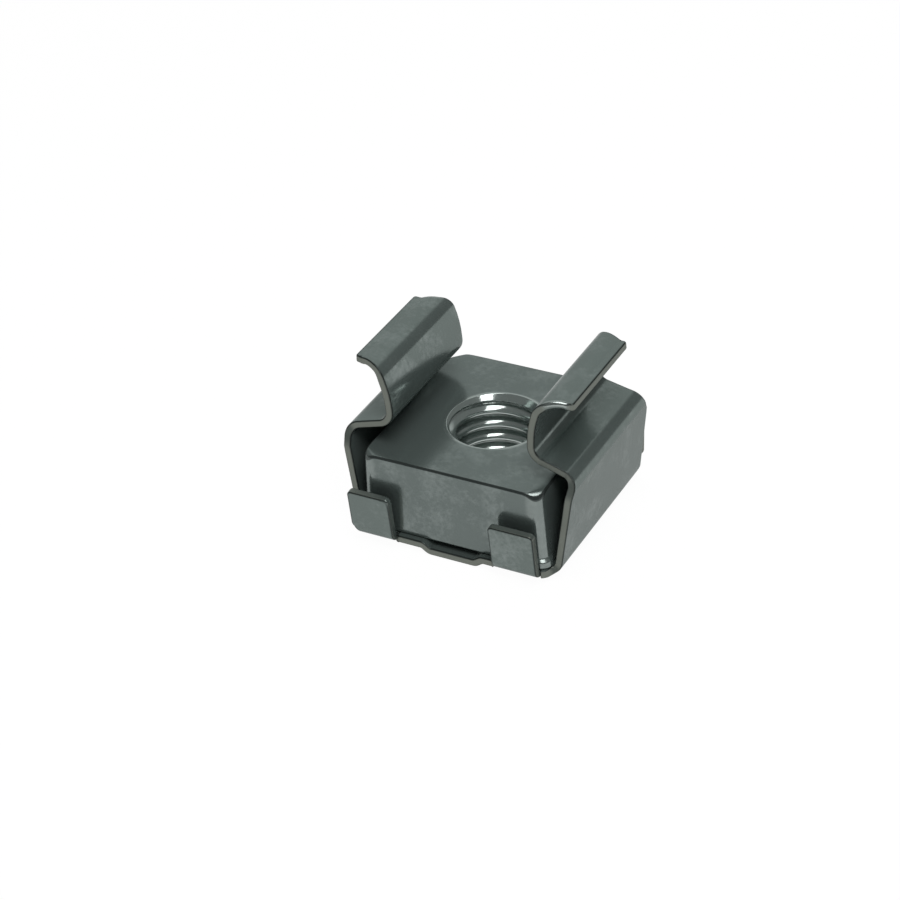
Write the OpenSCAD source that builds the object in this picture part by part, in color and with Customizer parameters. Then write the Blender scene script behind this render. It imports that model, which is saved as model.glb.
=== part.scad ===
// Rack cage nut, M6 thread, for the 9.5 mm square holes of a 19 inch rack.
// Two pieces: a cold-formed square nut, and the spring cage folded from one strip of sheet steel.
// Units are millimetres, +Z is up, X runs across the two wings and Y along them.
// The origin is on the thread axis, in the plane the pressed channel of the cage stands on.

/* [Square nut] */
// side of the square nut, flat to flat
nut_side = 12.8; // [12.0:0.1:12.8]
// lean of the two sheared sides of the nut, inward towards the top, in degrees
nut_draft = 2.5; // [1:0.5:3]
// height of the nut along its thread
nut_h = 5.4; // [4.6:0.1:5.6]
// radius of the four upright corners of the nut
nut_corner_r = 0.8; // [0.4:0.1:1.2]
// radius of the soft edges round the top and bottom faces of the nut
nut_edge_r = 0.15; // [0.1:0.05:0.3]
// distance from the thread axis at which the corner cone meets the top face
cone_top_r = 8.2; // [8.0:0.05:8.5]
// height of the turned cone on the top corners of the nut
cone_h = 0.9; // [0.5:0.1:1.4]
// radius of the bore, the M6 minor diameter halved
bore_r = 2.5; // [2.46:0.01:2.57]
// radius of the countersink at both ends of the bore
sink_r = 3.05; // [3.0:0.05:3.4]

/* [Cage base] */
// thickness of the spring steel sheet
sheet_t = 0.5; // [0.4:0.05:0.6]
// half length of the base along Y, from the axis to the cut front edge
base_half_y = 6.8; // [6.7:0.05:7.0]
// depth to which the channel is pressed below the base
channel_drop = 0.34; // [0.25:0.01:0.5]
// half width of the flat floor of the channel
channel_half_w = 1.45; // [1.2:0.05:1.8]
// slope of the two flanks of the channel in degrees
channel_slope = 35; // [30:1:45]
// radius of the screw clearance hole in the base
base_hole_r = 3.8; // [3.5:0.1:4.2]

/* [Tabs] */
// width of each upright tab
tab_w = 3.0; // [2.4:0.1:3.2]
// distance from the middle of a tab to the middle of the cage
tab_mid_x = 4.94; // [4.8:0.02:5.0]
// sideways shift of the front pair of tabs, the back pair is shifted the other way
tab_shift = 0.42; // [0:0.02:0.44]
// height of the top of the tabs above the underside of the channel
tab_top_z = 3.85; // [2.8:0.05:4.2]
// outward lean of the tabs in degrees
tab_lean = 5; // [0:1:8]
// inner radius of the fold at the foot of a tab
tab_fold_r = 0.25; // [0.2:0.05:0.3]
// distance from the thread axis to the outer face of a tab at its foot
tab_face_y = 7.15; // [7.15:0.01:7.3]
// radius of the top corners of a tab
tab_corner_r = 0.3; // [0.1:0.05:0.6]
// width of the relief slit on the inner side of a tab
slit_w = 0.1; // [0.1:0.05:0.3]

/* [Walls and wings] */
// distance from the middle of the cage to the start of the fold at the foot of a wall
foot_x = 6.37; // [6.37:0.01:6.6]
// inner radius of the fold at the foot of a wall
foot_r = 0.3; // [0.2:0.05:0.5]
// outward lean of the walls in degrees
wall_lean = 8.4; // [6:0.2:10]
// length of the flat part of a wall up its slope
wall_len = 5.28; // [5.1:0.02:5.5]
// inner radius of the shoulder fold at the top of a wall
shoulder_r = 0.5; // [0.4:0.05:0.7]
// slope at which the flange rises towards the neck in degrees
flange_rise = 15; // [10:1:18]
// length of the flat part of the flange
flange_len = 1.65; // [1.4:0.05:1.8]
// radius of the fold from flange to neck, on the side that faces the nut
valley_r = 1.2; // [1.0:0.05:1.3]
// slope of the neck above level in degrees, 90 is upright
neck_slope = 88; // [84:1:90]
// length of the straight part of the neck
neck_len = 0.2; // [0.1:0.05:0.4]
// radius of the slow curl above the neck, on the side that faces the axis
curl_r = 7.5; // [6.5:0.5:8.5]
// slope above level at which the slow curl ends in degrees
curl_end = 71; // [68:1:74]
// radius of the tight curl from the upright part to the top of the hook, on the same side
hook_r = 1.05; // [0.9:0.05:1.2]
// slope above level at which the tight curl ends in degrees
top_rise = 22; // [16:1:28]
// radius of the slow curl over the top of the hook, on the same side
top_r = 1.9; // [1.6:0.1:2.4]
// slope below level at which the top of the hook ends in degrees
top_fall = 17; // [12:1:22]
// inner radius of the turned-back fold between the hook and its lip
turn_r = 0.4; // [0.3:0.05:0.6]
// slope at which the lip of the hook rises to its free edge in degrees
lip_rise = 4; // [0:1:8]
// length of the flat lip of the hook
lip_len = 0.4; // [0.35:0.05:0.6]

/* [Ends of the wings] */
// half length of a wall at its foot
foot_half_y = 5.85; // [5.7:0.05:6.0]
// half length of a wall where it starts to narrow towards the shoulder
wall_half_y = 5.55; // [5.3:0.05:5.7]
// distance below the shoulder fold at which a wall starts to narrow
narrow_below = 0.3; // [0.1:0.05:0.6]
// half length of the flange where it leaves the shoulder
flange_half_y = 4.86; // [4.74:0.02:5.0]
// half length of the neck that passes through the 9.5 mm square hole
neck_half_y = 4.7; // [4.5:0.02:4.72]
// half length of the hook where its curl ends
hook_half_y = 3.92; // [3.84:0.02:4.1]
// half length of the hook at its free edge
lip_half_y = 3.77; // [3.4:0.01:3.79]

/* [Hidden] */
$fn = 96;
// heights of the base
floor_z = channel_drop;
seat_z = channel_drop + sheet_t;
nut_top_z = seat_z + nut_h;
// an amount by which cutters run past the faces they cut
over = 1;
// how far the notch beside a wall foot starts inside the end of the wall
foot_nick = 0.1;
// the largest angle that one facet of a fold turns through
facet_turn = 7.5;
// steps of the fold path: a state is [x, z, heading in degrees] on the face turned to the nut
function ahead(s, len) = [s[0] + len * cos(s[2]), s[1] + len * sin(s[2]), s[2]];
function centre_left(s, r) = [s[0] - r * sin(s[2]), s[1] + r * cos(s[2])];
function centre_right(s, r) = [s[0] + r * sin(s[2]), s[1] - r * cos(s[2])];
// points of an arc about centre c, from angle a0 through the sweep, which may be negative
function arc_steps(sweep) = ceil(abs(sweep) / facet_turn);
function arc(c, r, a0, sweep) = [
    for (i = [0 : arc_steps(sweep)])
        [
            c[0] + r * cos(a0 + sweep * i / arc_steps(sweep)),
            c[1] + r * sin(a0 + sweep * i / arc_steps(sweep))
        ]
];
// the arc of a fold, d is the depth below the face turned to the nut
function arc_left(s, r, a, d) = arc(centre_left(s, r), r + d, s[2] - 90, a);
function arc_right(s, r, a, d) = arc(centre_right(s, r), r - d, s[2] + 90, -a);
function last(list) = list[len(list) - 1];
function without_first(list) = [for (i = [1 : len(list) - 1]) list[i]];
function left(s, r, a) = concat(last(arc_left(s, r, a, 0)), [s[2] + a]);
function right(s, r, a) = concat(last(arc_right(s, r, a, 0)), [s[2] - a]);
function reversed(list) = [for (i = [len(list) - 1 : -1 : 0]) list[i]];
function below(s, d) = [s[0] + d * sin(s[2]), s[1] - d * cos(s[2])];
function mirrored(list) = [for (q = reversed(list)) [-q[0], q[1]]];
// radii of the two small folds of the channel flank
flank_in_r = 0.2;
flank_out_r = flank_in_r + sheet_t;
flank_len = (channel_drop - (flank_in_r + flank_out_r) * (1 - cos(channel_slope))) / sin(channel_slope);
// the path from the middle of the channel to the free edge of the hook
p_channel = [0, sheet_t, 0];
p_flank_in = ahead(p_channel, channel_half_w);
p_flank = left(p_flank_in, flank_in_r, channel_slope);
p_flank_out = ahead(p_flank, flank_len);
p_foot = [foot_x, seat_z, 0];
p_wall = left(p_foot, foot_r, 90 - wall_lean);
p_shoulder = ahead(p_wall, wall_len);
shoulder_turn = 90 + wall_lean - flange_rise;
p_flange = left(p_shoulder, shoulder_r, shoulder_turn);
p_valley = ahead(p_flange, flange_len);
valley_turn = 180 - flange_rise - neck_slope;
p_neck = right(p_valley, valley_r, valley_turn);
p_curl = ahead(p_neck, neck_len);
curl_turn = neck_slope - curl_end;
p_hook = right(p_curl, curl_r, curl_turn);
hook_turn = curl_end - top_rise;
p_top = right(p_hook, hook_r, hook_turn);
top_turn = top_rise + top_fall;
p_turn = right(p_top, top_r, top_turn);
lip_turn = top_fall + lip_rise;
p_lip = left(p_turn, turn_r, lip_turn);
p_edge = ahead(p_lip, lip_len);
// one face of the right half of the strip, at depth d below the face turned to the nut
function half_face(d) = concat(
    arc_left(p_flank_in, flank_in_r, channel_slope, d),
    arc_right(p_flank_out, flank_out_r, channel_slope, d),
    arc_left(p_foot, foot_r, 90 - wall_lean, d),
    arc_left(p_shoulder, shoulder_r, shoulder_turn, d),
    arc_right(p_valley, valley_r, valley_turn, d),
    arc_right(p_curl, curl_r, curl_turn, d),
    without_first(arc_right(p_hook, hook_r, hook_turn, d)),
    without_first(arc_right(p_top, top_r, top_turn, d)),
    without_first(arc_left(p_turn, turn_r, lip_turn, d)),
    [below(p_edge, d)]
);
// levels of the wing that set its end outline
narrow_z = p_shoulder[1] - narrow_below;
flange_z = p_flange[1] + sheet_t / 2;
hook_cut_z = p_curl[1];
wing_top_z = p_turn[1] + top_r;
// the inmost place of a wing, a little short of the neck
wing_from_x = p_neck[0] - sheet_t;
// where the fold of a tab starts, measured from the axis, and how far its foot laps the base
tab_root_y = tab_face_y - sheet_t - tab_fold_r;
tab_lap = 0.3;
tab_start = [tab_root_y, seat_z, 0];
tab_turn = 90 - tab_lean;
tab_flat = left(tab_start, tab_fold_r, tab_turn);
tab_edge = ahead(tab_flat, (tab_top_z - tab_flat[1]) / cos(tab_lean));
// one face of a tab, drawn outward from the middle of the cage
function tab_side(d) = concat(
    [[tab_root_y - tab_lap, seat_z - d]],
    arc_left(tab_start, tab_fold_r, tab_turn, d),
    [below(tab_edge, d)]
);
// plan of a base corner: the edge beside the tab lies corner_back behind the front edge, loses
// corner_drop between corner_in short of the fold and the fold, and runs on to the small nick,
// which is deepest at nick_x and ends at wall_x
corner_back = 0.1;
corner_in = 0.42;
corner_drop = 0.2;
nick_x = foot_x + foot_r;
wall_x = nick_x + sheet_t;
// overlap of the wing outline and the foot, and of a tab and the base corner, so that they are one
foot_lap = 0.05;
// width of the set-back under a tab, and how far its middle lies inside the middle of the tab
notch_w = tab_w + slit_w - foot_lap;
notch_in = (slit_w + foot_lap) / 2;
// radius of the lower outer corner of a tab that reaches past the foot of the wall
tab_low_r = 0.5;

// stands a section drawn in X and Z upright and gives it a half length either way along Y
module along_y(half) {
    rotate([90, 0, 0])
        translate([0, 0, -half])
            linear_extrude(2 * half)
                children();
}

// end view of the whole folded strip, from the lip of one hook to the lip of the other
module strip_section() {
    polygon(concat(
        mirrored(half_face(0)),
        half_face(0),
        reversed(half_face(sheet_t)),
        reversed(mirrored(half_face(sheet_t)))
    ));
}

// side outline of a wing above its foot, which narrows from the wall to the neck
module wing_outline() {
    top = wing_top_z + over;
    polygon([
        [-foot_half_y, p_wall[1] - foot_lap],
        [foot_half_y, p_wall[1] - foot_lap],
        [foot_half_y, p_wall[1]],
        [wall_half_y, narrow_z],
        [flange_half_y, flange_z],
        [neck_half_y, flange_z + valley_r],
        [neck_half_y, top],
        [-neck_half_y, top],
        [-neck_half_y, flange_z + valley_r],
        [-flange_half_y, flange_z],
        [-wall_half_y, narrow_z],
        [-foot_half_y, p_wall[1]]
    ]);
}

// plan outline of the end trimmed off each corner of a hook
module hook_corner() {
    past_x = p_edge[0] + over;
    past_y = neck_half_y + over;
    polygon([
        [p_hook[0], neck_half_y],
        [p_turn[0], hook_half_y],
        [p_edge[0], lip_half_y],
        [past_x, lip_half_y],
        [past_x, past_y],
        [p_hook[0], past_y]
    ]);
}

// plan outline of the base and of the folds at the foot of the walls: each corner is nicked at
// the fold, and the front edge is set back under each tab, with a slit on the tab's inner side
module base_outline() {
    half = base_half_y - corner_back;
    corner = [
        [foot_x - corner_in, half],
        [foot_x, half - corner_drop],
        [nick_x, foot_half_y - foot_nick],
        [wall_x, foot_half_y]
    ];
    difference() {
        union() {
            square([2 * (foot_x - corner_in), 2 * base_half_y], center = true);
            polygon(concat(
                corner,
                [for (q = reversed(corner)) [q[0], -q[1]]],
                [for (q = corner) [-q[0], -q[1]]],
                [for (q = reversed(corner)) [-q[0], q[1]]]
            ));
        }
        for (turn = [0, 180]) {
            rotate(turn) {
                for (side = [-1, 1]) {
                    translate([side * (tab_mid_x - notch_in) - tab_shift, -base_half_y])
                        square([notch_w, 2 * (base_half_y - tab_root_y)], center = true);
                }
            }
        }
        circle(r = base_hole_r);
    }
}

// the folded strip cut to its outlines: base in plan, wings from the side, hooks in plan
module strip() {
    difference() {
        intersection() {
            along_y(base_half_y)
                strip_section();
            union() {
                translate([0, 0, -over])
                    linear_extrude(p_wall[1] + over)
                        base_outline();
                for (side = [0, 1]) {
                    mirror([side, 0, 0])
                        translate([wing_from_x, 0, 0])
                            rotate([90, 0, 90])
                                linear_extrude(2 * foot_x)
                                    wing_outline();
                }
            }
        }
        for (x = [0, 1]) {
            for (y = [0, 1]) {
                translate([0, 0, hook_cut_z])
                    mirror([x, 0, 0])
                        mirror([0, y, 0])
                            linear_extrude(wing_top_z)
                                hook_corner();
            }
        }
    }
}

// face view of a tab: straight sides, rounded top corners, and the outer foot corner rounded
// where the tab reaches past the foot of the wall
module tab_face(side) {
    outer = side * tab_mid_x - tab_shift + side * tab_w / 2;
    difference() {
        square([tab_w, 2 * tab_top_z], center = true);
        for (edge = [-1, 1]) {
            translate([edge * tab_w / 2, tab_top_z])
                difference() {
                    square(2 * tab_corner_r, center = true);
                    translate([-edge * tab_corner_r, -tab_corner_r])
                        circle(r = tab_corner_r);
                }
        }
        if (abs(outer) > foot_x) {
            translate([side * tab_w / 2, floor_z])
                difference() {
                    square(2 * tab_low_r, center = true);
                    translate([-side * tab_low_r, tab_low_r])
                        circle(r = tab_low_r);
                }
        }
    }
}

// one front tab, folded up from the base
module tab(side) {
    intersection() {
        rotate(-90)
            along_y(tab_w)
                polygon(concat(tab_side(0), reversed(tab_side(sheet_t))));
        rotate([90, 0, 0])
            linear_extrude(tab_face_y + sheet_t + over)
                tab_face(side);
    }
}

// the spring cage, one strip of sheet steel: base, four tabs and two wings
module spring_cage() {
    color("silver") {
        union() {
            strip();
            for (turn = [0, 180]) {
                rotate(turn) {
                    for (side = [-1, 1]) {
                        translate([side * tab_mid_x - tab_shift, 0, 0])
                            tab(side);
                    }
                }
            }
        }
    }
}

// end view of the nut blank with soft edges at the top and the bottom
module nut_section() {
    half = nut_side / 2;
    r = nut_edge_r;
    union() {
        translate([-half, r])
            square([nut_side, nut_h - 2 * r]);
        translate([-half + r, 0])
            square([nut_side - 2 * r, nut_h]);
        for (x = [-1, 1]) {
            for (z = [r, nut_h - r]) {
                translate([x * (half - r), z])
                    circle(r = r);
            }
        }
    }
}

// plan view of the nut with its upright corners rounded
module nut_plan() {
    half = nut_side / 2;
    r = nut_corner_r;
    union() {
        square([nut_side, nut_side - 2 * r], center = true);
        square([nut_side - 2 * r, nut_side], center = true);
        for (x = [-1, 1]) {
            for (y = [-1, 1]) {
                translate([x * (half - r), y * (half - r)])
                    circle(r = r);
            }
        }
    }
}

// the blank of the nut: of two leaning blocks, each gives one of the sheared sides
module nut_blank() {
    intersection() {
        rotate([0, -nut_draft, 0])
            translate([0, 0, -over])
                linear_extrude(nut_h + 2 * over)
                    nut_plan();
        rotate([0, nut_draft, 0])
            translate([0, 0, -over])
                linear_extrude(nut_h + 2 * over)
                    nut_plan();
        along_y(nut_side / 2)
            nut_section();
        rotate([0, 0, 90])
            along_y(nut_side / 2)
                nut_section();
    }
}

// the turned cone that takes the four top corners down
module corner_cone() {
    outer_r = nut_side;
    spread = (nut_side / sqrt(2) - cone_top_r) / cone_h;
    union() {
        cylinder(h = nut_h - cone_h, r = outer_r);
        translate([0, 0, nut_h - cone_h])
            cylinder(h = cone_h, r1 = cone_top_r + spread * cone_h, r2 = cone_top_r);
    }
}

// the cold-formed square nut, with its bore and the countersink at each end
module square_nut() {
    sink_h = sink_r - bore_r;
    color("gainsboro") {
        translate([0, 0, seat_z]) {
            difference() {
                intersection() {
                    nut_blank();
                    corner_cone();
                }
                translate([0, 0, -over])
                    cylinder(h = nut_h + 2 * over, r = bore_r);
                translate([0, 0, nut_h - sink_h])
                    cylinder(h = 2 * sink_h, r1 = bore_r, r2 = sink_r + sink_h);
                translate([0, 0, -sink_h])
                    cylinder(h = 2 * sink_h, r1 = sink_r + sink_h, r2 = bore_r);
            }
        }
    }
}

square_nut();
spring_cage();
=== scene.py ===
import math

import bpy
import numpy as np
from mathutils import Matrix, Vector
from mathutils.geometry import delaunay_2d_cdt


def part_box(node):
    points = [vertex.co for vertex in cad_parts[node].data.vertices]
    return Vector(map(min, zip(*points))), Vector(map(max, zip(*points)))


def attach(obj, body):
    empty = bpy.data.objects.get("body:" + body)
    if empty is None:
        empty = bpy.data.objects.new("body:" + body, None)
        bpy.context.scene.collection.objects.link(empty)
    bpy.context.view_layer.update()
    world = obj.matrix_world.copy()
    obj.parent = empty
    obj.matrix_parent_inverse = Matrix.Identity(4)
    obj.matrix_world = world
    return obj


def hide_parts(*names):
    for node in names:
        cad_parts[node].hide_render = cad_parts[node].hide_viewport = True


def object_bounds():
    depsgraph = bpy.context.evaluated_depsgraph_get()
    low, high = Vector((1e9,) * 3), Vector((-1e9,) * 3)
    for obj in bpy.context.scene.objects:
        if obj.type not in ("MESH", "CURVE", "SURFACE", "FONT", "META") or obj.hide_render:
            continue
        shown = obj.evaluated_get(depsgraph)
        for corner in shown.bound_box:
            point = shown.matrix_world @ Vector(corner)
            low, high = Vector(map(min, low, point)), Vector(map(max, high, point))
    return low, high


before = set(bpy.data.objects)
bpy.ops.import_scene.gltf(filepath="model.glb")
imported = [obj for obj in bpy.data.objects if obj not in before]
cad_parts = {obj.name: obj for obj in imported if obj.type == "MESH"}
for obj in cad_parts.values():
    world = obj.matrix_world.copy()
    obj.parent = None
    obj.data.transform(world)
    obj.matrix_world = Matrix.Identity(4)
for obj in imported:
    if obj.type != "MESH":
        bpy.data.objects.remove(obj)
CAD_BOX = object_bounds()
MM = 0.001

# ---------------------------------------------------------------------------
# small helpers
# ---------------------------------------------------------------------------


def linear(hex_code):
    """sRGB hex to a linear RGBA tuple: c / 12.92 up to 0.04045, ((c + 0.055) / 1.055) to the power
    of 2.4 above."""
    c = np.array([int(hex_code[i:i + 2], 16) for i in (1, 3, 5)]) / 255
    low = c / 12.92
    high = ((c + 0.055) / 1.055) ** 2.4
    return (*np.where(c <= 0.04045, low, high).tolist(), 1.0)


def add_node(tree, kind, settings=None, inputs=None):
    """One shader node. settings go to its attributes. inputs, by name or number, get a value, or a
    link where the value is another node's output."""
    node = tree.nodes.new(kind)
    for key, value in (settings or {}).items():
        setattr(node, key, value)
    for key, value in (inputs or {}).items():
        if isinstance(value, bpy.types.NodeSocket):
            tree.links.new(value, node.inputs[key])
        else:
            node.inputs[key].default_value = value
    return node


def unit(v):
    """Vectors along the last axis, each divided by its length."""
    return v / np.maximum(np.linalg.norm(v, axis=-1, keepdims=True), 1e-12)


def surface_object(name, points_mm, faces, normals, node, material, marks):
    """A mesh object from whole arrays: points in mm, faces as rows of point numbers, one normal a
    point, and marks from 0 to 1 a point, which the material reads. The points are held a hair
    inside the CAD box."""
    hair = 1e-8
    low, high = (np.array(corner) for corner in CAD_BOX)
    points = np.clip(points_mm * MM, low + hair, high - hair)
    mesh = bpy.data.meshes.new(name)
    mesh.from_pydata(points.tolist(), [], faces.tolist())
    mesh.polygons.foreach_set("use_smooth", np.ones(len(mesh.polygons), bool))
    for label, values in marks.items():
        layer = mesh.attributes.new(label, "FLOAT", "POINT")
        layer.data.foreach_set("value", values.astype(np.float32))
    mesh.update()
    mesh.normals_split_custom_set_from_vertices(normals.tolist())
    mesh.materials.append(material)
    piece = bpy.data.objects.new(name, mesh)
    bpy.context.scene.collection.objects.link(piece)
    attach(piece, "root")
    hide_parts(node)


# ---------------------------------------------------------------------------
# materials
# ---------------------------------------------------------------------------

# width of the cloudy patches that plating in a barrel leaves
CLOUD_MM = 2.2
# height of the waves that the plate's crystals make
WAVE_HEIGHT = 0.0008 * MM
# share of light that the passivation scatters
HAZE = 0.18
# roughness of satin zinc, before patches and marks change it
ZINC_ROUGHNESS = 0.16
# painted shade: a dark tone on the rims of a sheared edge, standing in for their dark reflection
RIM_SHADE_TONE = "#1c2020"


def zinc_plate(name, clean, dull, grain_mm):
    """Bright zinc, plated in a barrel over the finished steel piece and then passivated clear. The
    metal is satin. Clean and dull patches drift over a few millimetres, and the crystals of the
    plate give a fine grain on top. The passivation adds a faint grey-green haze, which keeps a
    grazing view from turning into a mirror. Three marks on the mesh change it. The first is
    painted
    shade: it darkens the rims of a sheared edge to stand in for the dark reflection along the
    rounded rims. "torn" makes the face between them rougher and warmer, and "bright" is the cut
    thread, which is lighter and smoother, and, weaker, a painted highlight: lighter, smoother
    metal on the nut's corners and the rounder rims of the cage, which whitens their highlights."""
    mat = bpy.data.materials.new(name)
    mat.use_nodes = True
    tree = mat.node_tree
    tree.nodes.clear()
    place = add_node(tree, "ShaderNodeTexCoord").outputs["Object"]
    bright, rim_shade, torn = (
        add_node(tree, "ShaderNodeAttribute", {"attribute_name": label}).outputs["Fac"]
        for label in ("bright", "rim_shade", "torn"))

    # 0 on a clean spot, 1 on a dull one: the clouds and the grain added up; the grain is drawn
    # coarser than the real crystals, which are some hundredths of a millimetre, so that it shows
    cloud = add_node(tree, "ShaderNodeTexNoise", inputs={
        "Vector": place, "Scale": 1 / (CLOUD_MM * MM), "Detail": 3.0, "Roughness": 0.55})
    grain = add_node(tree, "ShaderNodeTexNoise", inputs={
        "Vector": place, "Scale": 1 / (grain_mm * MM), "Detail": 4.0, "Roughness": 0.65})
    patch = add_node(tree, "ShaderNodeMapRange", inputs={
        "Value": cloud.outputs["Fac"], "From Min": 0.35, "From Max": 0.68})
    speck = add_node(tree, "ShaderNodeMapRange", inputs={
        "Value": grain.outputs["Fac"], "From Min": 0.34, "From Max": 0.68, "To Max": 0.9})
    dulled = add_node(tree, "ShaderNodeMath", {"operation": "ADD", "use_clamp": True},
                      {0: patch.outputs[0], 1: speck.outputs[0]}).outputs[0]

    # from clean to dull, then towards the tone of each mark in turn
    colour = linear(clean)
    # the light tone is the cut thread and, weaker, a painted highlight on corners and rims; the
    # last, dark tone is painted shade on the rims
    for share, tone in ((dulled, dull), (bright, "#b4bbb8"), (torn, "#75776f"), (rim_shade, RIM_SHADE_TONE)):
        colour = add_node(tree, "ShaderNodeMix", {"data_type": "RGBA"},
                          {0: share, 6: colour, 7: linear(tone)}).outputs[2]

    rough = add_node(tree, "ShaderNodeMapRange", inputs={
        "Value": dulled, "To Min": ZINC_ROUGHNESS - 0.03, "To Max": ZINC_ROUGHNESS + 0.05,
    }).outputs[0]
    for share, change in ((bright, -0.07), (torn, 0.18)):
        rough = add_node(tree, "ShaderNodeMath", {"operation": "MULTIPLY_ADD"},
                         {0: share, 1: change, 2: rough}).outputs[0]

    # a single smooth octave, so that faces seen at a slant don't glitter
    wave = add_node(tree, "ShaderNodeTexNoise", inputs={
        "Vector": place, "Scale": 1 / (grain_mm * MM), "Detail": 1.0})
    relief = add_node(tree, "ShaderNodeBump", inputs={
        "Strength": 1.0, "Distance": WAVE_HEIGHT, "Height": wave.outputs["Fac"]})
    metal = add_node(tree, "ShaderNodeBsdfPrincipled", inputs={
        "Base Color": colour, "Metallic": 1.0, "Specular Tint": linear("#d4d4d4"),
        "Roughness": rough, "Normal": relief.outputs[0]})
    # the haze is darkened on the rims too, painted shade like the metal's
    milky = add_node(tree, "ShaderNodeMix", {"data_type": "RGBA"},
                     {0: rim_shade, 6: linear("#a9b9b5"), 7: linear(RIM_SHADE_TONE)})
    haze = add_node(tree, "ShaderNodeBsdfDiffuse", inputs={
        "Color": milky.outputs[2], "Roughness": 0.4})
    skin = add_node(tree, "ShaderNodeMixShader", inputs={
        0: HAZE, 1: metal.outputs[0], 2: haze.outputs[0]})
    add_node(tree, "ShaderNodeOutputMaterial", inputs={"Surface": skin.outputs[0]})
    return mat


# ---------------------------------------------------------------------------
# the square nut, in mm
# ---------------------------------------------------------------------------

# columns once round the nut, and how much closer they stand at the corners than on the sides
NUT_COLUMNS, CORNER_SHARE = 336, 3.0
# radius of the upright corners and of the soft edges round the top and the bottom
NUT_CORNER_R, NUT_EDGE_R = 0.8, 0.15
# how far in from the edge the rows of the top stay parallel to the sides
RIM_BAND = 0.70
# inward lean of the two sheared sides
NUT_LEAN = math.radians(2.5)
# the cone turned on the top corners: radius at which it starts, slope, width of its soft start
CONE_R, CONE_SLOPE, CONE_SOFT = 8.29, 1.36, 0.12
# M6 thread: minor and major radius, and rise a turn
MINOR_R, MAJOR_R, PITCH = 2.5, 3.0, 1.0
# half width of a crest and run of a 60 degree flank, both in turns, and the softness of each end
CREST_HALF, FLANK_RUN, CREST_SOFT, ROOT_SOFT = 0.149, 0.2887, 0.40, 0.10
# countersink of 45 degrees at both ends: radius, rounding of its rim, softness at the thread
SINK_R, SINK_LIP_R, SINK_SOFT = 3.05, 0.06, 0.04
# shear burr at the foot of the corners: reach, half length, height at which it ends, its slope
SPUR, SPUR_HALF, SPUR_TOP, SPUR_FALL = 0.24, 0.75, 0.57, 0.20
# rows of the mesh down the bore, and the painted shade on the top's soft edge
BORE_ROWS, TOP_EDGE_SHADE = 176, 0.65


def square_rim(half):
    """Points and outward directions once round a square with rounded corners, anticlockwise from
    the middle of the +X side. The columns are even in the path's length, in which each millimetre
    of a corner counts CORNER_SHARE times. One quarter is a flat at x = half and an arc, turned by
    90 degrees for each quarter passed."""
    inner = half - NUT_CORNER_R
    flat, arc = 2 * inner, math.pi / 2 * NUT_CORNER_R
    lengths = np.array([flat / 2, arc] + [flat, arc] * 3 + [flat / 2])
    knots = np.append(0, np.cumsum(lengths))
    weight = np.append(0, np.cumsum(lengths * ([1, CORNER_SHARE] * 4 + [1])))
    s = np.interp(np.arange(NUT_COLUMNS) / NUT_COLUMNS * weight[-1], weight, knots)
    quarter = flat + arc
    turn = np.floor((s + flat / 2) / quarter)
    t = s + flat / 2 - turn * quarter
    angle = np.clip((t - flat) / NUT_CORNER_R, 0, math.pi / 2)
    nx, ny = np.cos(angle), np.sin(angle)
    x = np.where(t < flat, half, inner + NUT_CORNER_R * nx)
    y = np.where(t < flat, t - flat / 2, inner + NUT_CORNER_R * ny)
    c, q = np.cos(turn * math.pi / 2), np.sin(turn * math.pi / 2)
    rim = np.stack([c * x - q * y, q * x + c * y], 1)
    return rim, np.stack([c * nx - q * ny, q * nx + c * ny], 1)


def soft_over(x, k):
    """max(x, 0) with its corner rounded over a width k: half of x plus the root of x^2 + k^2."""
    return 0.5 * (x + np.sqrt(x * x + k * k))


def nut_bore(z0, z1, ring):
    """Rows down the bore between the nut's faces: the round lip of the countersink, the thread and
    the lower lip. The thread's radius is the minor radius plus its depth times a trapezoid wave of
    height / PITCH minus the turn round the axis, 0 at the crest and 1 at the root. The cones of 45
    degrees at both ends cut it back."""
    bend = np.radians(np.linspace(0, 45, 5)[1:])
    lip_r = SINK_R + SINK_LIP_R * (1 - np.sin(bend))
    lip_z = SINK_LIP_R * (1 - np.cos(bend))
    z = np.linspace(z1 - lip_z[-1], z0 + lip_z[-1], BORE_ROWS)[1:-1, None]
    turn = np.arange(NUT_COLUMNS) / NUT_COLUMNS
    wave = np.abs(((z - z0) / PITCH - turn + 0.5) % 1 - 0.5)
    flank = (wave - CREST_HALF) / FLANK_RUN
    rise = soft_over(flank, CREST_SOFT) - soft_over(flank - 1, ROOT_SOFT)
    r = MINOR_R + (MAJOR_R - MINOR_R) * rise
    r = r + soft_over(lip_r[-1] - (z1 - lip_z[-1] - z) - r, SINK_SOFT)
    r = r + soft_over(lip_r[-1] - (z - z0 - lip_z[-1]) - r, SINK_SOFT)
    lip = np.repeat(lip_r[:, None], NUT_COLUMNS, 1)
    r = np.concatenate([lip, r, lip[::-1]])
    z = np.concatenate([z1 - lip_z, z[:, 0], (z0 + lip_z)[::-1]])
    z = np.repeat(z[:, None], NUT_COLUMNS, 1)
    return np.stack([r * ring[:, 0], r * ring[:, 1], z], 2)


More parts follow.
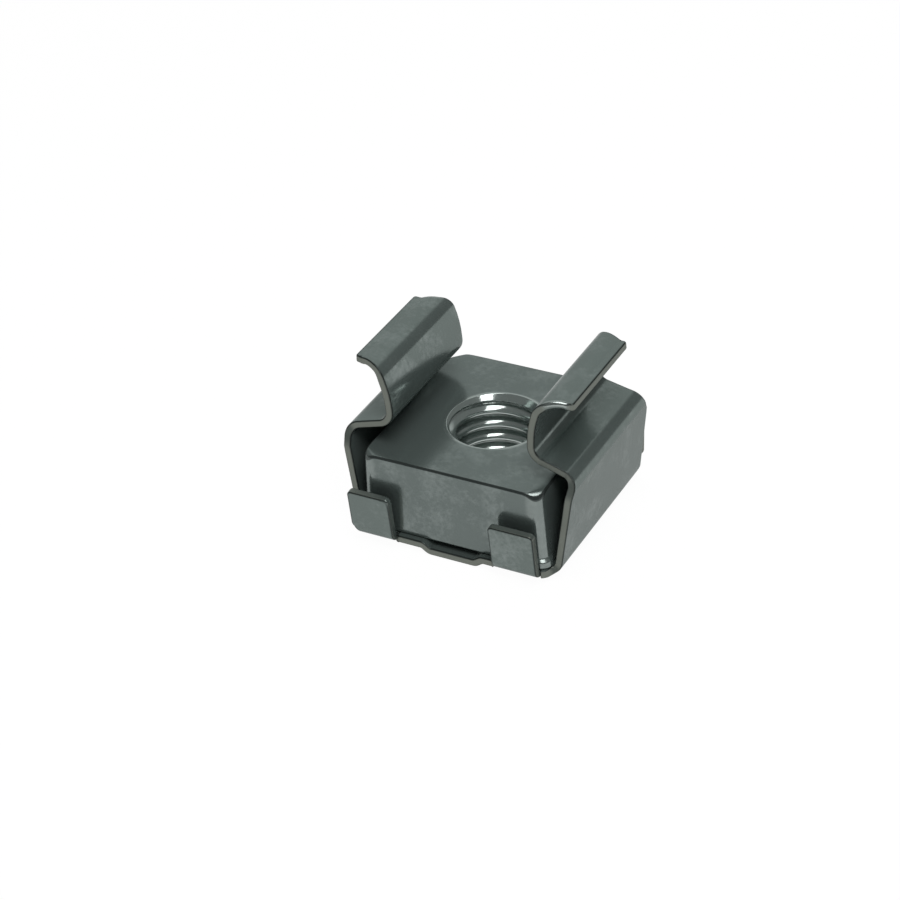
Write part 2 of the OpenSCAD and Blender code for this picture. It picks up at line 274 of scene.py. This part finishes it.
def nut_grid(z0, z1, half):
    """The nut as one grid that closes both ways: each column climbs a side, goes in over the top,
    down the bore and back out along the bottom. A face's rows run from the square rim, inset along
    its outward directions, to the circle of the countersink, in even shares. The cone lowers the
    top by its slope times the radius past CONE_R. Also gives each row's painted shade."""
    rim, out = square_rim(half)
    turn = np.arange(NUT_COLUMNS) / NUT_COLUMNS * 2 * math.pi
    ring = np.stack([np.cos(turn), np.sin(turn)], 1)
    # rows of a face: round the soft edge, along the rim band, then in to the countersink
    bend = np.radians(np.linspace(0, 90, 9)[:-1])
    band, ways = np.linspace(NUT_EDGE_R, RIM_BAND, 9), np.linspace(0, 1, 19)[1:]
    inset = np.concatenate([NUT_EDGE_R * (1 - np.cos(bend)), band, np.full(len(ways), RIM_BAND)])
    share = np.pad(ways, (len(bend) + len(band), 0))[:, None, None]
    drop = np.pad(NUT_EDGE_R * (1 - np.sin(bend)), (0, len(band) + len(ways)))[:, None]
    end = ring * (SINK_R + SINK_LIP_R)

    def face_rows(outline):
        """The rows of a face inside an outline, still at height 0."""
        xy = (outline - inset[:, None, None] * out) * (1 - share) + end * share
        return np.pad(xy, ((0, 0), (0, 0), (0, 1)))

    top = face_rows(rim * [1 - (z1 - z0) * math.tan(NUT_LEAN) / half, 1.0])
    past_cone = np.linalg.norm(top[..., :2], axis=-1) - CONE_R
    top[..., 2] = z1 - drop - CONE_SLOPE * soft_over(past_cone, CONE_SOFT)
    # the burr fades away from the diagonals with the fourth power of the distance
    off_corner = np.abs(np.abs(rim[:, 0]) - np.abs(rim[:, 1]))
    spur = SPUR * np.exp(-(off_corner / SPUR_HALF) ** 4)[:, None] * out
    bottom = face_rows(rim + spur)
    bottom[..., 2] = z0 + drop
    # the side, with close rows where the burr ends in a ledge
    height = z1 - z0 - 2 * NUT_EDGE_R
    climb = np.concatenate([np.linspace(0.02, 0.62, 13), np.linspace(0.8, height, 8)[:-1]])
    climb = climb[:, None, None]
    low, high = bottom[0] - np.pad(spur, ((0, 0), (0, 1))), top[0]
    side = low * (1 - climb / height) + high * (climb / height)
    side[..., :2] += np.clip((SPUR_TOP - climb) / SPUR_FALL, 0, 1) * spur
    rows = np.concatenate([side, top, nut_bore(z0, z1, ring), bottom[::-1]])
    # painted shade on the rows round the top's soft edge, standing in for the dark reflection
    # along it
    row_rim_shade = np.zeros(len(rows))
    row_rim_shade[len(side) + 1:len(side) + len(bend)] = TOP_EDGE_SHADE
    return rows, row_rim_shade


def grid_faces(rows, columns):
    """Quads of a grid that is closed both ways: each point, the next one in its row, and the two
    beside them in the next row."""
    i, j = np.meshgrid(np.arange(rows), np.arange(columns), indexing="ij")
    a, b = i * columns + j, i * columns + (j + 1) % columns
    n = rows * columns
    return np.stack([a, b, (b + columns) % n, (a + columns) % n], -1).reshape(-1, 4)


def grid_normals(p):
    """Cross product of the difference along the rows and the sum of the two unit steps along the
    columns, on a grid closed both ways."""
    along = np.roll(p, -1, 1) - np.roll(p, 1, 1)
    across = unit(p - np.roll(p, 1, 0)) + unit(np.roll(p, -1, 0) - p)
    return unit(np.cross(along, across))


def build_nut(material):
    """The nut's grid between the faces of its CAD box. The thread is bright, and so, weaker, are
    the
    corners past a radius, over a short ramp: there the lighter metal is a painted highlight."""
    corner_highlight, corner_r, corner_ramp = 0.22, 8.2, 0.15
    low, high = (np.array(v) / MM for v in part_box("square_nut"))
    p, row_rim_shade = nut_grid(low[2], high[2], (high[0] - low[0]) / 2)
    rows, columns = p.shape[:2]
    radius = np.linalg.norm(p[..., :2], axis=-1)
    # painted highlight: the corners' metal is made lighter, to whiten the strip along the cone
    corners = corner_highlight * np.clip((radius - corner_r) / corner_ramp, 0, 1)
    bright = np.where(radius < MAJOR_R + 0.2, 1.0, corners)
    marks = {"bright": bright.reshape(-1), "rim_shade": np.repeat(row_rim_shade, columns)}
    surface_object("nut_body", p.reshape(-1, 3), grid_faces(rows, columns),
                   grid_normals(p).reshape(-1, 3), "square_nut", material, marks)


# ---------------------------------------------------------------------------
# the spring cage, in mm
# ---------------------------------------------------------------------------

SHEET = 0.5
# half width of the channel's floor, its depth, and the slope and the two fold radii of its flanks
CHANNEL_HALF, CHANNEL_DROP, CHANNEL_SLOPE = 1.45, 0.34, 35
FLANK_IN_R, FLANK_OUT_R = 0.2, 0.7
# height of the face that the nut lies on
SEAT_Z = CHANNEL_DROP + SHEET
# half length in x of the base, from the middle to the fold at the foot of a wall
FOOT_X = 6.37
# the front tabs from side to side: ends in x, distance of the fold line from the middle, inner
# radius of the fold, lean outwards in degrees and height of the top
TABS = ((-6.83, -3.90), (2.97, 6.04))
TAB_ROOT, TAB_FOLD_R, TAB_LEAN, TAB_TOP = 6.4, 0.25, 5.0, 3.85
TAB_TURN = math.radians(90 - TAB_LEAN)
TAB_BEND = TAB_FOLD_R * TAB_TURN
TAB_RISE = TAB_TOP - SEAT_Z - TAB_FOLD_R * (1 - math.cos(TAB_TURN))
TAB_END = TAB_ROOT + TAB_BEND + TAB_RISE / math.cos(math.radians(TAB_LEAN))
# the blank's front edge, the slit beside each tab and the radius of the screw hole
FRONT_Y, SLIT, HOLE_R = -6.8, 0.03, 3.8
# rounding of a sheared edge, and the strip beside it that is meshed with the face
EDGE_R, EDGE_STRIP = 0.10, 0.04
# by how much the normal has turned at each row round a sheared edge, how much painted shade
# the row gets, and how torn the row is; the first four rows belong to the face turned to the nut
EDGE_TURN = np.radians([0, 30, 60, 90, 90, 120, 150, 180])
EDGE_SHADE = (0.3, 0.9, 0.6, 0.1, 0.1, 0.6, 0.9, 0.3)
EDGE_TORN = (0.0, 0.0, 1.0, 1.0, 1.0, 1.0, 0.0, 0.0)
# the mesh: angle between the lines across a fold, distance between those on a flat
FOLD_STEP, CELL = math.radians(4.5), 0.45
# the stretches of fold_plan from the foot of the wall on, and the free edge after them
FOOT, WALL, SHOULDER, FLANGE, VALLEY, NECK, CURL, HOOK, TOP, TURN, LIP, FREE_EDGE = range(5, 17)


def fold_plan():
    """The folds of half the strip from the middle of the channel: (kind, length or radius, angle),
    on the face turned to the nut. left folds towards the nut, right away from it. The channel's
    flank is as long as its two folds and its slope need for its depth."""
    slope = math.radians(CHANNEL_SLOPE)
    radii = FLANK_IN_R + FLANK_OUT_R
    flank = (CHANNEL_DROP - radii * (1 - math.cos(slope))) / math.sin(slope)
    reach = CHANNEL_HALF + radii * math.sin(slope) + flank * math.cos(slope)
    return [
        ("flat", CHANNEL_HALF, 0),
        ("left", FLANK_IN_R, CHANNEL_SLOPE), ("flat", flank, 0),
        ("right", FLANK_OUT_R, CHANNEL_SLOPE),
        ("flat", FOOT_X - reach, 0),
        ("left", 0.3, 81.6), ("flat", 5.28, 0),  # foot and wall
        ("left", 0.5, 83.4), ("flat", 1.65, 0),  # shoulder and flange
        ("right", 1.2, 77), ("flat", 0.2, 0),  # valley and neck
        ("right", 7.5, 17), ("right", 1.05, 49), ("right", 1.9, 39),  # curl, hook and its top
        ("left", 0.4, 21), ("flat", 0.4, 0),  # turned-back lip
    ]


def trace_folds(plan):
    """Rows of distance along the strip, x, z, heading and curvature at the start of every stretch,
    and at the end of the last. A flat goes on along its heading, a fold round its centre."""
    s = x = h = 0.0
    z = SHEET
    rows = []
    for kind, size, angle in plan:
        a = math.radians(angle)
        k = {"flat": 0.0, "left": 1.0, "right": -1.0}[kind] / (size if kind != "flat" else 1.0)
        length = size if kind == "flat" else size * a
        rows.append((s, x, z, h, k))
        turned = h + k * length
        if k:
            x += (math.sin(turned) - math.sin(h)) / k
            z -= (math.cos(turned) - math.cos(h)) / k
        else:
            x += length * math.cos(h)
            z += length * math.sin(h)
        s, h = s + length, turned
    rows.append((s, x, z, h, 0.0))
    return np.array(rows)


TRACE = trace_folds(fold_plan())
# where the stretches start on the blank, which measures the base by x and what follows along the
# sheet; this holds from the foot on
BLANK = TRACE[:, 0] - TRACE[FOOT, 0] + FOOT_X


def strip_state(s):
    """x, z and heading after a distance s: arcs by their centre angle, flats by their slope."""
    i = np.clip(np.searchsorted(TRACE[:, 0], s, side="right") - 1, 0, len(TRACE) - 1)
    s0, x0, z0, h0, k = TRACE[i].T
    d = s - s0
    h = h0 + k * d
    bent = np.abs(k) > 0
    safe = np.where(bent, k, 1.0)
    x = np.where(bent, x0 + (np.sin(h) - np.sin(h0)) / safe, x0 + d * np.cos(h0))
    z = np.where(bent, z0 - (np.cos(h) - np.cos(h0)) / safe, z0 + d * np.sin(h0))
    return x, z, h


def on_strip(across):
    """strip_state at a signed place across the blank. Inside the base that place is x itself, past
    it the distance goes on along the sheet."""
    s_table = np.concatenate([np.linspace(*TRACE[i:i + 2, 0], 12) for i in range(FOOT)])
    x_table = strip_state(s_table)[0]
    size = np.abs(across)
    base_s = np.interp(size, x_table, s_table)
    return strip_state(np.where(size <= FOOT_X, base_s, size - FOOT_X + TRACE[FOOT, 0]))


def in_tab(q):
    """Whether points of the blank lie in a tab past its fold line: in front of that line and
    between a tab's sides. The back pair is the front pair after a half turn."""
    x, y = np.where(q[:, 1:] > 0, -q, q).T
    slack = 0.004
    (a, b), (c, d) = TABS
    beside = ((x > a - slack) & (x < b + slack)) | ((x > c - slack) & (x < d + slack))
    return beside & (y < -TAB_ROOT)


def fold(q, m, depth, tilt):
    """Points q of the blank (place across, y) carried to their folded place, depth below the face
    turned to the nut. m is the outward direction of the blank's edge and tilt the angle by which
    the normal has turned from that face (0) through the edge (90) to the other face (180). A point
    is its place on the face minus depth times the face's normal. The normal is the face's times
    the cosine of tilt plus the outward direction times its sine."""
    x, z, h = on_strip(q[:, 0])
    side = np.where(q[:, 0] < 0, -1.0, 1.0)
    zero = np.zeros(len(q))
    place = np.stack([side * x, q[:, 1], z], 1)
    face = np.stack([-side * np.sin(h), zero, np.cos(h)], 1)
    across = np.stack([np.cos(h), zero, side * np.sin(h)], 1)
    along = np.tile([0.0, 1.0, 0.0], (len(q), 1))
    # a tab folds about its root: an arc, then a straight leaning outwards
    tab = in_tab(q)
    tab_x, tab_y = q[tab].T
    back = np.where(tab_y > 0, 1.0, -1.0)
    reach = np.abs(tab_y) - TAB_ROOT
    a = np.minimum(reach / TAB_FOLD_R, TAB_TURN)
    rest = np.maximum(reach - TAB_BEND, 0)
    tab_zero = np.zeros(len(a))
    place[tab] = np.stack([
        tab_x,
        back * (TAB_ROOT + TAB_FOLD_R * np.sin(a) + rest * np.cos(a)),
        SEAT_Z + TAB_FOLD_R * (1 - np.cos(a)) + rest * np.sin(a),
    ], 1)
    face[tab] = np.stack([tab_zero, -back * np.sin(a), np.cos(a)], 1)
    across[tab] = [1.0, 0.0, 0.0]
    along[tab] = np.stack([tab_zero, np.cos(a), back * np.sin(a)], 1)
    out = m[:, :1] * across + m[:, 1:] * along
    c, s = np.cos(tilt)[:, None], np.sin(tilt)[:, None]
    return place - face * depth[:, None], unit(face * c + out * s)


def strip_lines():
    """Places across the blank that get a line of the mesh: every FOLD_STEP in a fold and about
    every CELL on a flat, on both sides of the middle."""
    lines = []
    for i, (kind, _, angle) in enumerate(fold_plan()):
        a, b = TRACE[i:i + 2, 0]
        flat_steps, fold_steps = round((b - a) / CELL), round(math.radians(angle) / FOLD_STEP)
        n = max(2, flat_steps) if kind == "flat" else max(3, fold_steps)
        s = np.linspace(a, b, n + 1)[:-1]
        lines.append(strip_state(s)[0] if i < FOOT else s - TRACE[FOOT, 0] + FOOT_X)
    half = np.append(np.concatenate(lines), BLANK[FREE_EDGE])
    return np.concatenate([-half[:0:-1], half])


def tab_lines():
    """The same along a tab, as distances from the middle of the cage."""
    bend = np.linspace(0, TAB_BEND, round(TAB_TURN / FOLD_STEP) + 1)
    flat = np.linspace(TAB_BEND, TAB_END - TAB_ROOT, 7)[1:]
    return TAB_ROOT + np.concatenate([bend, flat])


def half_width(across):
    """Half length of a wing at a place across the blank. Up to the hook it goes straight from
    point to point on the blank, on the hook straight in x, as the trim was cut from above. A
    running mean takes the corners off."""
    fine = np.linspace(BLANK[WALL], BLANK[FREE_EDGE], 600)
    knots = [BLANK[WALL], BLANK[SHOULDER] - 0.3, BLANK[FLANGE] - 0.2, BLANK[NECK]]
    wing = np.interp(fine, knots, [5.85, 5.55, 4.86, 4.70])
    trim = np.interp(on_strip(fine)[0], TRACE[[HOOK, TURN, FREE_EDGE], 1], [4.70, 3.92, 3.77])
    width = np.where(fine < BLANK[HOOK], wing, trim)
    span = 31
    mean = np.convolve(np.pad(width, span // 2, "edge"), np.ones(span) / span, "valid")
    return np.interp(across, fine, mean)


def rounded(points, radii):
    """A line of corners in which each corner becomes an arc of its radius, in short steps. The arc
    touches both sides at radius / tan(half the corner's angle) from the corner, and shrinks where
    that is more than its share of a side. Radius 0 keeps the corner."""
    step, side_share = 0.05, 0.48
    out = []
    points = [np.array(p, float) for p in points]
    for i, (p, r) in enumerate(zip(points, radii)):
        if not r:
            out.append(p)
            continue
        a, b = points[i - 1] - p, points[i + 1] - p
        la, lb = np.linalg.norm(a), np.linalg.norm(b)
        a, b = a / la, b / lb
        half = math.acos(np.clip(a @ b, -1, 1)) / 2
        cut = min(r / math.tan(half), side_share * la, side_share * lb)
        r = cut * math.tan(half)
        centre = p + unit(a + b) * (r / math.sin(half))
        start = math.atan2(*(p + a * cut - centre)[::-1])
        end = math.atan2(*(p + b * cut - centre)[::-1])
        sweep = (end - start + math.pi) % (2 * math.pi) - math.pi
        n = max(3, round(abs(sweep) * r / step))
        t = start + sweep * np.linspace(0, 1, n + 1)
        out.extend(centre + r * np.stack([np.cos(t), np.sin(t)], 1))
    return np.array(out)


def split_at(line, grid, axis):
    """Adds points to a line of corners where it crosses the mesh's lines along one axis, or evenly
    where a straight is longer than CELL and too few lines cross it. A point that would all but
    touch the one before is left out."""
    touching = 0.012
    out = [line[0]]
    for a, b in zip(line[:-1], line[1:]):
        lo, hi = sorted((a[axis], b[axis]))
        between = grid[(grid > lo + 1e-6) & (grid < hi - 1e-6)]
        cuts = list((between - a[axis]) / (b[axis] - a[axis])) if len(between) else []
        n = math.ceil(np.linalg.norm(b - a) / CELL)
        cuts += [k / n for k in range(1, n)] if len(cuts) < n - 1 else []
        for t in sorted(cuts) + [1.0]:
            q = a + (b - a) * t
            if np.linalg.norm(q - out[-1]) > touching:
                out.append(q)
    return np.array(out)


def front_edge():
    """The blank's edge at the front, from the lip of the left wing to the lip of the right one:
    the wings by half_width, the feet and tabs as corners with their radii."""
    lines, ylines = strip_lines(), -tab_lines()
    wing = lines[lines > BLANK[WALL] - 1e-6]
    foot, end = wing[0], wing[-1]
    right_wing = np.stack([wing, -half_width(wing)], 1)[:-2]
    lip = rounded([right_wing[-1], (end, -half_width(end)), (end, 0)], [0, 0.22, 0])
    (a, b), (c, d) = TABS
    left_foot = rounded(
        [(-foot, -5.85), (-6.60, -5.90), (-6.45, -6.15), (-6.42, -6.40), (-6.55, -6.62),
         (a, -6.90), (a, -TAB_END), (b, -TAB_END),
         (b, -TAB_ROOT), (b + SLIT, -TAB_ROOT), (b + SLIT, FRONT_Y), (-2.5, FRONT_Y)],
        [0, 0.2, 0.2, 0.2, 0.25, 0.35, 0.3, 0.3, 0, 0, 0, 0])
    right_foot = rounded(
        [(2.4, FRONT_Y), (c - SLIT, FRONT_Y), (c - SLIT, -TAB_ROOT), (c, -TAB_ROOT),
         (c, -TAB_END), (d, -TAB_END), (d, -TAB_ROOT - 0.02), (d + 0.02, -TAB_ROOT - 0.02),
         (d + 0.02, -6.75), (6.37, -6.52), (6.60, -5.92), (foot, -5.85)],
        [0, 0, 0, 0, 0.3, 0.3, 0, 0, 0.08, 0.15, 0.2, 0])
    left_foot, right_foot = split_at(left_foot, ylines, 1), split_at(right_foot, ylines, 1)
    middle = split_at(np.array([left_foot[-1], right_foot[0]]), lines, 0)
    mirror = [-1, 1]
    return np.concatenate([
        lip[-2::-1] * mirror, right_wing[::-1] * mirror, left_foot[1:], middle[1:],
        right_foot[1:], right_wing[1:], lip[1:-1]])


def cage_loops():
    """The punched blank's outer loop, anticlockwise, whose back half is its front half after a
    half turn, and the loop of the screw hole, clockwise."""
    front = front_edge()
    turn = np.linspace(0, 2 * math.pi, 145)[:-1]
    return [np.concatenate([front, -front]), HOLE_R * np.stack([np.cos(turn), -np.sin(turn)], 1)]


def outward(loop):
    """Outward directions at the points of a loop: the mean of the normals of the two sides that
    meet there, lengthened at corners so that an inset keeps its width."""
    edge = unit(np.roll(loop, -1, 0) - loop)
    n = np.stack([edge[:, 1], -edge[:, 0]], 1)
    m = unit(n + np.roll(n, 1, 0))
    return m / np.maximum((m * n).sum(1, keepdims=True), 0.5)


def roundness(loop):
    """How round the sheared edge is: 1 where plain, 0.3 at the narrow corner of the base beside
    each right-hand tab, and up to 2.2 at the inner corner of each left-hand tab and on top of the
    hook across from it, where build_cage also paints a highlight. The round corner fades as
    exp(-distance^2), the hook in straight ramps."""
    turned = np.where(loop[:, 1:] > 0, -loop, loop)
    x, y = turned.T
    narrow = (x > TABS[1][1] + 0.005) & (y < 0.02 - TAB_ROOT) & (y > FRONT_Y)
    off_corner = np.linalg.norm(turned - (TABS[0][1] - 0.1, 0.1 - TAB_END), axis=1)
    corner = 0.9 * np.exp(-(off_corner / 0.35) ** 2)
    ramps = [BLANK[TOP] - 0.1, BLANK[TOP] + 0.3, BLANK[LIP] - 0.1, BLANK[LIP] + 0.1]
    hook = 1.2 * np.interp(x, ramps, [0, 1, 1, 0])
    return np.where(narrow, 0.3, 1 + np.maximum(corner, hook))


def inside(points, loops):
    """Even-odd test: a point is in the blank where a ray in x crosses its loops an odd number of
    times in all."""
    x, y = points[:, 0, None], points[:, 1, None]
    crossings = 0
    for a in loops:
        b = np.roll(a, -1, 0)
        passes = (a[:, 1] > y) != (b[:, 1] > y)
        with np.errstate(divide="ignore", invalid="ignore"):
            at = a[:, 0] + (y - a[:, 1]) / (b[:, 1] - a[:, 1]) * (b[:, 0] - a[:, 0])
        crossings = crossings + (passes & (x < at)).sum(1)
    return crossings % 2 == 1


def blank_face(rings):
    """Points and triangles of one face of the blank inside its rings: the rings' points, then the
    crossings of the mesh's lines, joined by a Delaunay triangulation that keeps the rings. It is
    made on a stretched blank on which all lines are one CELL apart, so that the triangles follow
    the folds."""
    lines, tabs = strip_lines(), tab_lines()
    ladder = np.concatenate([-tabs[::-1], np.arange(-14, 15) * TAB_ROOT / 15, tabs])

    def stretched(q):
        """Each coordinate as the number of lines passed, times CELL."""
        u = np.interp(q[:, 0], lines, np.arange(len(lines)) * CELL)
        return np.stack([u, np.interp(q[:, 1], ladder, np.arange(len(ladder)) * CELL)], 1)

    flat_rings = [stretched(ring) for ring in rings]
    crossings = np.stack(np.meshgrid(lines, ladder), -1).reshape(-1, 2)
    flat = stretched(crossings)
    keep = inside(flat, flat_rings)
    crossings, flat = crossings[keep], flat[keep]
    gap = np.full(len(flat), np.inf)
    for part in np.array_split(np.concatenate(flat_rings), 12):
        gap = np.minimum(gap, np.linalg.norm(flat[:, None] - part, axis=2).min(1))
    clear = gap > 0.4 * CELL
    points = np.concatenate([*rings, crossings[clear]])
    uv = np.concatenate([*flat_rings, flat[clear]])
    numbers = np.split(np.arange(sum(map(len, rings))), np.cumsum([len(r) for r in rings])[:-1])
    edges = np.concatenate([np.stack([n, np.roll(n, -1)], 1) for n in numbers])
    found = delaunay_2d_cdt(uv.tolist(), edges.tolist(), [], 0, 1e-7)
    spots, triangles = np.array([tuple(v) for v in found[0]]), np.array(found[2])
    # the given point behind each found one, -1 where it has none
    origin = np.array([given[0] if given else -1 for given in found[3]])
    good = inside(spots[triangles].mean(1), flat_rings) & (origin[triangles] >= 0).all(1)
    triangles = origin[triangles[good]]
    a, b, c = (uv[triangles[:, i]].T for i in range(3))
    area = (b[0] - a[0]) * (c[1] - a[1]) - (b[1] - a[1]) * (c[0] - a[0])
    return points, np.where(area[:, None] < 0, triangles[:, ::-1], triangles)


def build_cage(material):
    """The cage: the blank's face and its copy one sheet deeper, folded, and between them rows
    round each sheared edge. A row at tilt a stands EDGE_R x (1 - sin a) inside the loop, and
    EDGE_R x (1 - cos a) below its face, both times the edge's roundness."""
    loops = cage_loops()
    sizes = [roundness(loop) for loop in loops]
    ways = [outward(loop) * size[:, None] for loop, size in zip(loops, sizes)]
    sheet, triangles = blank_face(
        [loop - (EDGE_R + EDGE_STRIP) * way for loop, way in zip(loops, ways)])
    count = len(sheet)
    zero, still = np.zeros(count), np.zeros((count, 2))
    near, far = fold(sheet, still, zero, zero), fold(sheet, still, zero + SHEET, zero + math.pi)
    points, normals = [near[0], far[0]], [near[1], far[1]]
    marks = {"bright": [zero, zero], "rim_shade": [zero, zero], "torn": [zero, zero]}
    faces = [triangles, triangles[:, ::-1] + count]
    first, total = 0, 2 * count
    for loop, way, size in zip(loops, ways, sizes):
        n = len(loop)
        rows = [first + np.arange(n)]
        for i, (a, rim_shade, torn) in enumerate(zip(EDGE_TURN, EDGE_SHADE, EDGE_TORN)):
            near_half = i < len(EDGE_TURN) // 2
            from_near, from_far = 1 - math.cos(a), 1 + math.cos(a)
            deep = EDGE_R * size * from_near if near_half else SHEET - EDGE_R * size * from_far
            p, m = fold(loop - EDGE_R * (1 - math.sin(a)) * way, unit(way), deep, np.full(n, a))
            points.append(p)
            normals.append(m)
            # past roundness 1 the near face's rows get a painted highlight, and less painted shade
            # and tearing
            marks["bright"].append(0.7 * near_half * np.clip(size - 1, 0, 1))
            marks["rim_shade"].append(rim_shade * np.clip(1.6 - 0.6 * size, 0, 1))
            marks["torn"].append(torn * np.clip(2 - size, 0, 1))
            rows.append(total + np.arange(n))
            total += n
        rows.append(count + first + np.arange(n))
        for low, high in zip(rows[:-1], rows[1:]):
            faces.append(np.stack([low, high, np.roll(high, -1)], 1))
            faces.append(np.stack([low, np.roll(high, -1), np.roll(low, -1)], 1))
        first += n
    surface_object("cage_sheet", np.concatenate(points), np.concatenate(faces),
                   np.concatenate(normals), "spring_cage", material,
                   {label: np.concatenate(values) for label, values in marks.items()})


# ---------------------------------------------------------------------------
# camera, floor and light
# ---------------------------------------------------------------------------


def placed(name, data, axes, spot):
    """A camera or lamp at a spot: its matrix has its own three axes and the spot as columns."""
    matrix = np.eye(4)
    matrix[:3, :3], matrix[:3, 3] = axes, spot
    thing = bpy.data.objects.new(name, data)
    thing.matrix_world = Matrix(matrix.tolist())
    bpy.context.scene.collection.objects.link(thing)
    return thing


def place_camera():
    """The camera looks from the front and a little from the right, half way up, with a slight
    roll. Its axes come from azimuth, elevation and roll, its place from the distance and the
    offset of the part from the middle of the view."""
    az, el, roll = np.radians([30.346, 34.212, 4.571])
    distance_mm, offset_x_mm, offset_y_mm = 159.985, 3.262, -3.296
    right = np.array([math.cos(az), math.sin(az), 0])
    back = np.array([math.sin(az) * math.cos(el), -math.cos(az) * math.cos(el), math.sin(el)])
    up = np.cross(back, right)
    axes = np.stack([math.cos(roll) * right - math.sin(roll) * up,
                     math.sin(roll) * right + math.cos(roll) * up, back], 1)
    data = bpy.data.cameras.new("camera")
    data.sensor_width, data.lens = 36, 100.2286
    data.clip_start, data.clip_end = 0.005, 20
    spot = axes @ np.array([-offset_x_mm, -offset_y_mm, distance_mm]) * MM
    bpy.context.scene.camera = placed("camera", data, axes, spot)


def place_floor():
    """A wide white table top a hair under the part. What the camera and reflections see of it is
    mostly its own white, the rest is lit, so that the part's shadow shows faintly."""
    z, size = CAD_BOX[0][2] - 0.02 * MM, 1.2
    mesh = bpy.data.meshes.new("table_top")
    mesh.from_pydata([(-size, -size, z), (size, -size, z), (size, size, z), (-size, size, z)],
                     [], [(0, 1, 2, 3)])
    mat = bpy.data.materials.new("white_table")
    mat.use_nodes = True
    tree = mat.node_tree
    tree.nodes.clear()
    path = add_node(tree, "ShaderNodeLightPath")
    seen = path.outputs["Is Camera Ray"]
    for ray in ("Is Glossy Ray", "Is Transmission Ray"):
        seen = add_node(tree, "ShaderNodeMath", {"operation": "MAXIMUM"},
                        {0: seen, 1: path.outputs[ray]}).outputs[0]
    share = add_node(tree, "ShaderNodeMath", {"operation": "MULTIPLY"}, {0: seen, 1: 0.94})
    paint = add_node(tree, "ShaderNodeBsdfDiffuse", inputs={"Color": linear("#f2f2f2")})
    glow = add_node(tree, "ShaderNodeEmission", inputs={
        "Color": linear("#ffffff"), "Strength": 1.03})
    both = add_node(tree, "ShaderNodeMixShader", inputs={
        0: share.outputs[0], 1: paint.outputs[0], 2: glow.outputs[0]})
    add_node(tree, "ShaderNodeOutputMaterial", inputs={"Surface": both.outputs[0]})
    mesh.materials.append(mat)
    table = bpy.data.objects.new("table_top", mesh)
    bpy.context.scene.collection.objects.link(table)


def place_softbox():
    """A rectangular softbox overhead, its long side in the upright plane through it. Its power is
    radiance x area x pi."""
    width, height, distance, radiance = 0.09, 0.24, 0.25, 5.0
    way = unit(np.array([0.230, -0.180, 0.956]))
    across = unit(np.cross((0, 0, 1), way))
    lamp = bpy.data.lights.new("overhead_softbox", "AREA")
    lamp.shape, lamp.size, lamp.size_y = "RECTANGLE", width, height
    lamp.energy = radiance * width * height * math.pi
    placed("overhead_softbox", lamp, np.stack([across, np.cross(way, across), way], 1),
           way * distance)


def light_room():
    """A dim room with a broad pale glow behind the part to the left: full within one angle of its
    direction, gone past a second one."""
    way = unit(np.array([-0.43, 0.78, 0.47]))
    full, gone = np.cos(np.radians([28, 40]))
    glow_strength, room_strength = 0.60, 0.18
    world = bpy.data.worlds.new("dim_room")
    bpy.context.scene.world = world
    world.use_nodes = True
    tree = world.node_tree
    tree.nodes.clear()
    seen_way = add_node(tree, "ShaderNodeTexCoord").outputs["Generated"]
    near = add_node(tree, "ShaderNodeVectorMath", {"operation": "DOT_PRODUCT"},
                    {0: seen_way, 1: way.tolist()})
    glow = add_node(tree, "ShaderNodeMapRange", {"interpolation_type": "SMOOTHSTEP"}, {
        "Value": near.outputs["Value"], "From Min": gone, "From Max": full,
        "To Max": glow_strength})
    level = add_node(tree, "ShaderNodeMath", {"operation": "ADD"},
                     {0: glow.outputs[0], 1: room_strength})
    sky = add_node(tree, "ShaderNodeBackground", inputs={
        "Color": linear("#f8fbfa"), "Strength": level.outputs[0]})
    add_node(tree, "ShaderNodeOutputWorld", inputs={"Surface": sky.outputs[0]})


bpy.context.scene.view_settings.view_transform = "Standard"
place_camera()
nut_zinc = zinc_plate("bright_zinc_on_cold_formed_steel", "#7b8280", "#636a68", 0.32)
cage_zinc = zinc_plate("bright_zinc_on_spring_steel", "#7e8583", "#666e6b", 0.28)
build_nut(nut_zinc)
build_cage(cage_zinc)
place_floor()
light_room()
place_softbox()
